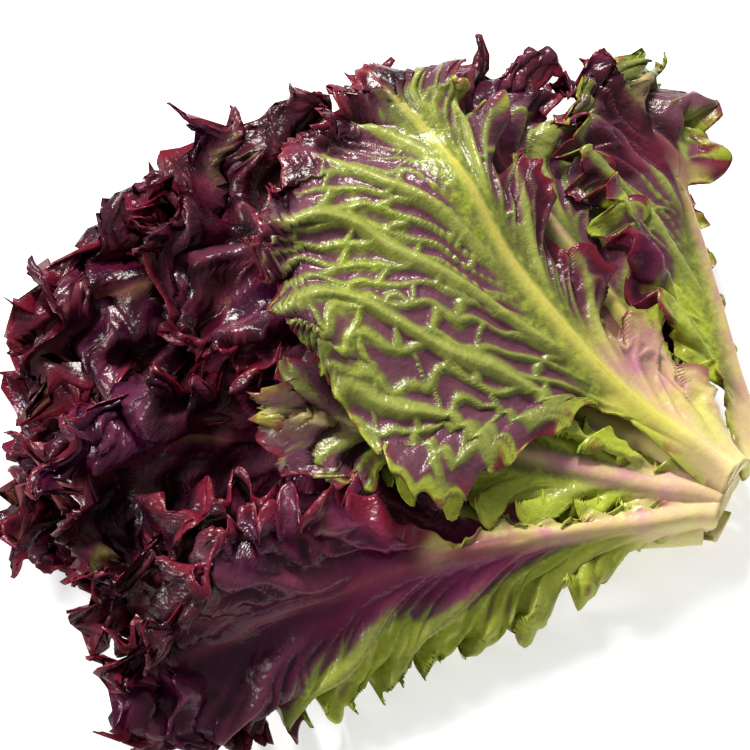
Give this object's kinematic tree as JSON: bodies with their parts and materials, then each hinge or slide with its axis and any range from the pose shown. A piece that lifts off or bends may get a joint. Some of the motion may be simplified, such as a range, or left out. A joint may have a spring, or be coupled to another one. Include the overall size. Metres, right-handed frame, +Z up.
{
  "type": "red oak leaf lettuce",
  "caption": "Head of ruffled red oak leaf lettuce lying on its side, its leaves fanned out from a short cut stem.",
  "frame": {"origin": "under the middle of the bounding box, on the surface that the head lies on", "axes": "+Z up; +X from the leaf tips towards the cut end of the stem; +Y towards the far side of the fan of leaves"},
  "size_m": [0.2808, 0.3724, 0.1022],
  "materials": {
    "leaf_red": "satin",
    "stem_cream": "satin"
  },
  "bodies": {
    "root": {"stem": "stem_cream", "leaf_top": "leaf_red", "leaf_under": "leaf_red", "leaf_far_upper": "leaf_red", "leaf_near": "leaf_red", "leaf_far": "leaf_red", "leaf_near_upper": "leaf_red", "leaf_inner_01": "leaf_red", "leaf_inner_02": "leaf_red", "leaf_inner_03": "leaf_red", "leaf_inner_04": "leaf_red", "leaf_inner_05": "leaf_red", "leaf_inner_06": "leaf_red", "leaf_inner_07": "leaf_red", "leaf_inner_08": "leaf_red", "leaf_inner_09": "leaf_red", "leaf_inner_10": "leaf_red", "leaf_inner_11": "leaf_red", "leaf_inner_12": "leaf_red", "leaf_inner_13": "leaf_red"}
  },
  "joints": []
}
